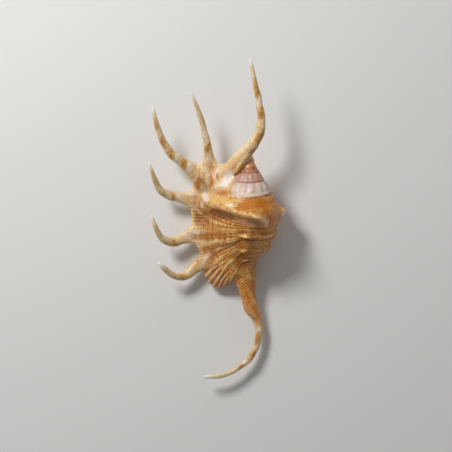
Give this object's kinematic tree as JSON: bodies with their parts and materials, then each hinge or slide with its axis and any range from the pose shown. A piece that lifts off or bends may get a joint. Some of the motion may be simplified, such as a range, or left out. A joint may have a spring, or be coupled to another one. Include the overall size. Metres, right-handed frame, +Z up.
{
  "type": "spider conch shell",
  "caption": "Spider conch shell, lying mouth down: a knobbed last whorl under a stepped spire, a flared lip drawn out in curved spines, and a long hooked siphon tail.",
  "frame": {"origin": "middle of the shell's outline seen from above, on the surface that it rests on", "axes": "+Z up, +Y along the shell from the siphon tail to the spire, +X to the side away from the lip"},
  "size_m": [0.0834, 0.192, 0.0441],
  "materials": {
    "shell": "naturally glossy limy shell, orange-brown and cream on the back, smooth and glazed round the mouth"
  },
  "bodies": {
    "root": {"shell": "shell"}
  },
  "joints": []
}
